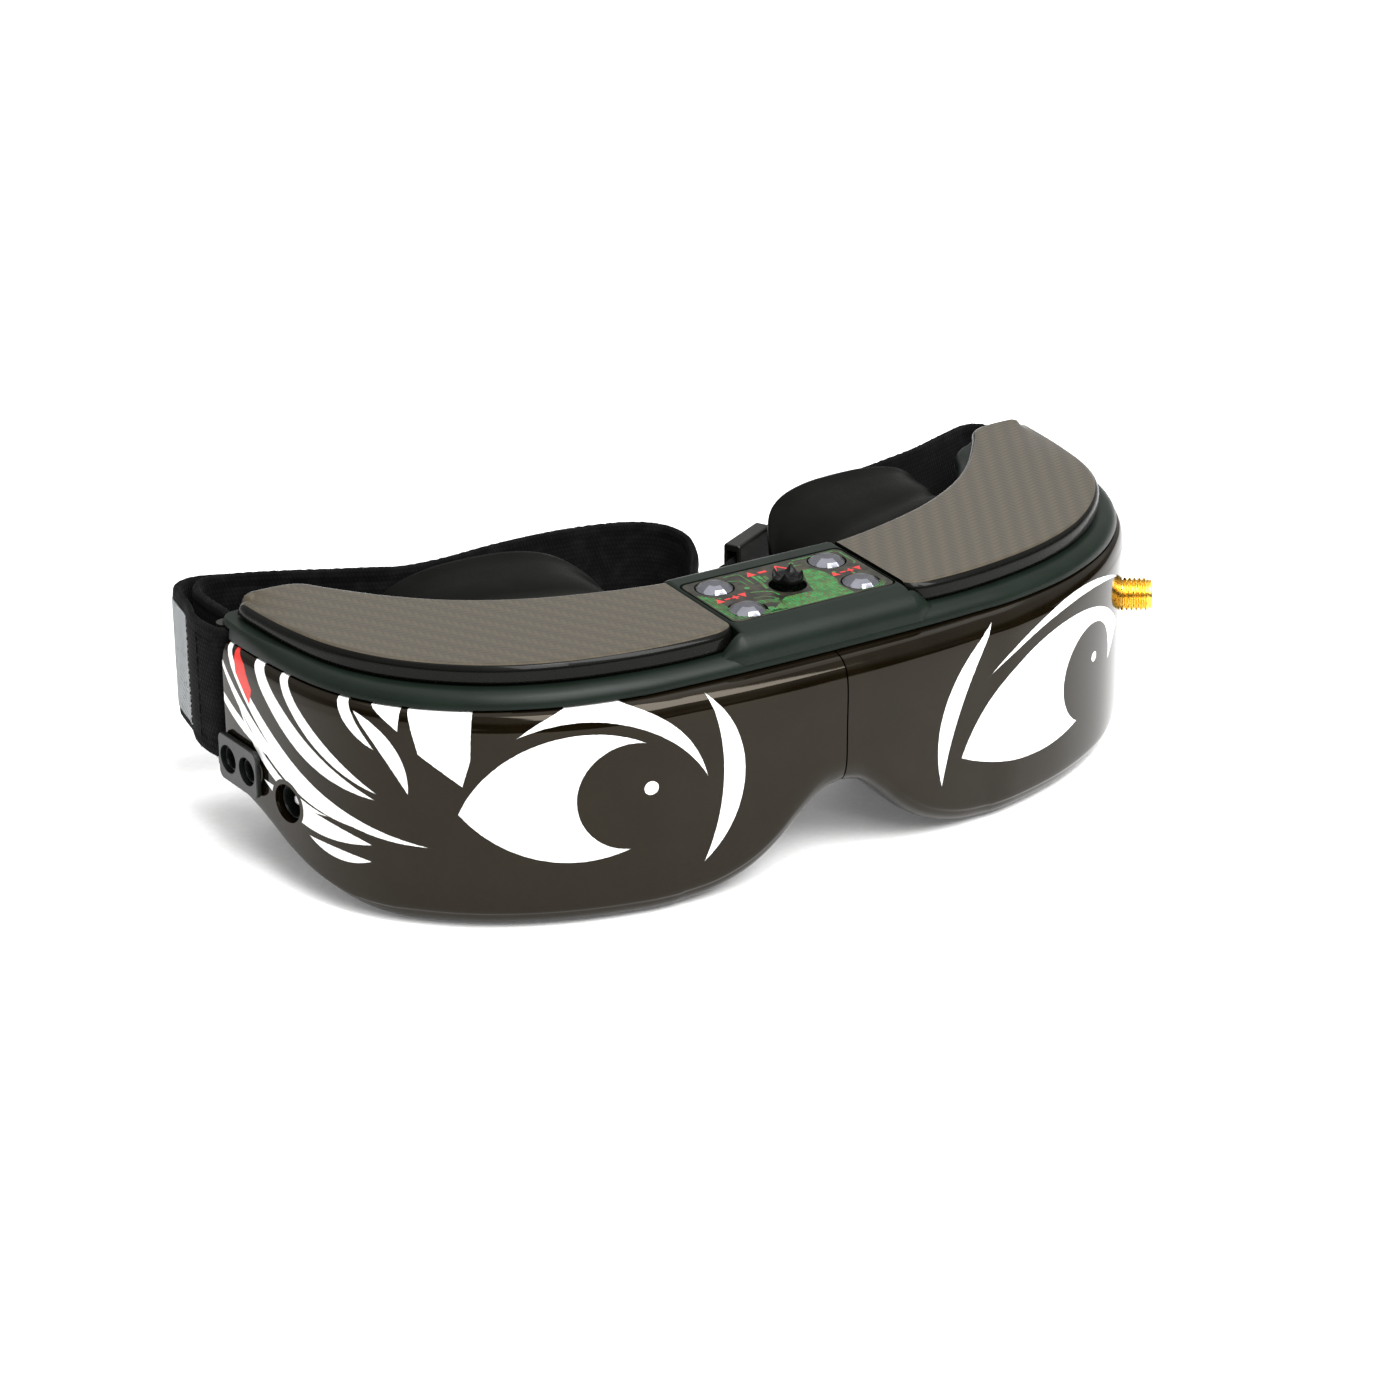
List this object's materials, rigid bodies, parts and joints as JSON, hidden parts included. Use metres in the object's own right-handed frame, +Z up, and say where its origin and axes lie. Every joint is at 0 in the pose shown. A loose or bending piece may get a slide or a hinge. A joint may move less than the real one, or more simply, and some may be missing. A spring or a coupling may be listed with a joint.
{
  "type": "fpv goggles",
  "caption": "Head-worn video goggles with gloss front shells, raised carbon-pattern bay covers, a keypad with a small stick, rubber eyecups, an antenna jack and an elastic head strap.",
  "frame": {"origin": "centre of the outline's footprint, at the level of the flat underside", "axes": "+X across the goggles towards the antenna jack, -Y the way the wearer looks, +Z up"},
  "size_m": [0.1786, 0.0906, 0.0507],
  "materials": {
    "gold_plate": "gold plated",
    "black_plastic": "plain moulding",
    "carbon_cover": "gloss film with a carbon weave pattern",
    "matt_shell": "fine satin moulding",
    "steel": "plain",
    "key_dome": "polished domes",
    "display_glass": "dark display behind clear cover",
    "knob_rubber": "ribbed",
    "eyecup_rubber": "soft satin rubber",
    "gloss_shell": "gloss lacquer with a printed white pattern",
    "strap_elastic": "woven elastic webbing",
    "insulator": "white PTFE",
    "circuit_board": "green solder mask",
    "keypad_label": "dark film with green circuit traces",
    "lens_glass": "coated",
    "socket_plate": "satin",
    "stick_cap": "satin",
    "strap_fitting": "satin moulding"
  },
  "bodies": {
    "housing": {"antenna_jack": "gold_plate", "antenna_nut": "black_plastic", "bottom_cover": "matt_shell", "bottom_screw_1": "steel", "bottom_screw_2": "steel", "bottom_screw_3": "steel", "bottom_screw_4": "steel", "earphone_socket": "black_plastic", "eyecup_left": "eyecup_rubber", "eyecup_right": "eyecup_rubber", "front_shell_left": "gloss_shell", "front_shell_right": "gloss_shell", "guide_rod_front": "steel", "guide_rod_rear": "steel", "head_strap": "strap_elastic", "jack_contact": "gold_plate", "jack_insulator": "insulator", "keypad_board": "circuit_board", "keypad_label": "keypad_label", "main_board": "circuit_board", "power_pin": "steel", "power_socket": "black_plastic", "rear_housing": "matt_shell", "receiver_module": "black_plastic", "rod_frame": "black_plastic", "socket_plate": "socket_plate", "stick_switch_base": "black_plastic", "strap_anchor_left": "strap_fitting", "strap_anchor_right": "strap_fitting", "top_cover": "matt_shell", "tracker_module": "black_plastic", "video_socket": "black_plastic"},
    "volume_up_key": {"volume_up_key": "key_dome"},
    "volume_down_key": {"volume_down_key": "key_dome"},
    "channel_up_key": {"channel_up_key": "key_dome"},
    "channel_down_key": {"channel_down_key": "key_dome"},
    "stick_press": {"stick_plunger": "steel"},
    "stick_tilt": {"stick_gimbal": "black_plastic"},
    "stick": {"stick_stem": "stick_cap", "stick_cap": "stick_cap"},
    "optics_left": {"optic_housing_left": "black_plastic", "display_left": "display_glass", "lens_left": "lens_glass", "eye_width_knob_left": "knob_rubber"},
    "optics_right": {"optic_housing_right": "black_plastic", "display_right": "display_glass", "lens_right": "lens_glass", "eye_width_knob_right": "knob_rubber"},
    "bay_cover_left": {"bay_cover_left": "carbon_cover"},
    "bay_cover_right": {"bay_cover_right": "carbon_cover"},
    "strap_slider": {"strap_slider": "strap_fitting"}
  },
  "joints": [
    {"name": "volume_up_key_press", "type": "slide", "parent": "housing", "child": "volume_up_key", "axis": [0, 0, -1], "range_m": [0, 0.0004], "stiffness_N_per_m": 900, "springref_m": -0.0008},
    {"name": "volume_down_key_press", "type": "slide", "parent": "housing", "child": "volume_down_key", "axis": [0, 0, -1], "range_m": [0, 0.0004], "stiffness_N_per_m": 900, "springref_m": -0.0008},
    {"name": "channel_up_key_press", "type": "slide", "parent": "housing", "child": "channel_up_key", "axis": [0, 0, -1], "range_m": [0, 0.0004], "stiffness_N_per_m": 900, "springref_m": -0.0008},
    {"name": "channel_down_key_press", "type": "slide", "parent": "housing", "child": "channel_down_key", "axis": [0, 0, -1], "range_m": [0, 0.0004], "stiffness_N_per_m": 900, "springref_m": -0.0008},
    {"name": "stick_press", "type": "slide", "parent": "housing", "child": "stick_press", "axis": [0, 0, -1], "range_m": [0, 0.0004], "stiffness_N_per_m": 1200, "springref_m": -0.001},
    {"name": "stick_tilt_front_back", "type": "hinge", "parent": "stick_press", "child": "stick_tilt", "pos_m": [0, -0.02603, 0.0443], "axis": [1, 0, 0], "range_deg": [-8, 8], "stiffness_Nm_per_rad": 0.03},
    {"name": "stick_tilt_left_right", "type": "hinge", "parent": "stick_tilt", "child": "stick", "pos_m": [0, -0.02603, 0.0443], "axis": [0, 1, 0], "range_deg": [-8, 8], "stiffness_Nm_per_rad": 0.03},
    {"name": "eye_width_left", "type": "slide", "parent": "housing", "child": "optics_left", "axis": [1, 0, 0], "range_m": [-0.0025, 0.0025]},
    {"name": "eye_width_right", "type": "slide", "parent": "housing", "child": "optics_right", "axis": [1, 0, 0], "range_m": [-0.0025, 0.0025]},
    {"name": "bay_cover_left_lift", "type": "slide", "parent": "housing", "child": "bay_cover_left", "axis": [0, 0, 1], "range_m": [0, 0.012]},
    {"name": "bay_cover_right_lift", "type": "slide", "parent": "housing", "child": "bay_cover_right", "axis": [0, 0, 1], "range_m": [0, 0.012]},
    {"name": "strap_slider_run", "type": "slide", "parent": "housing", "child": "strap_slider", "axis": [0.8772, 0.4801, 0], "range_m": [-0.002, 0.002]}
  ]
}
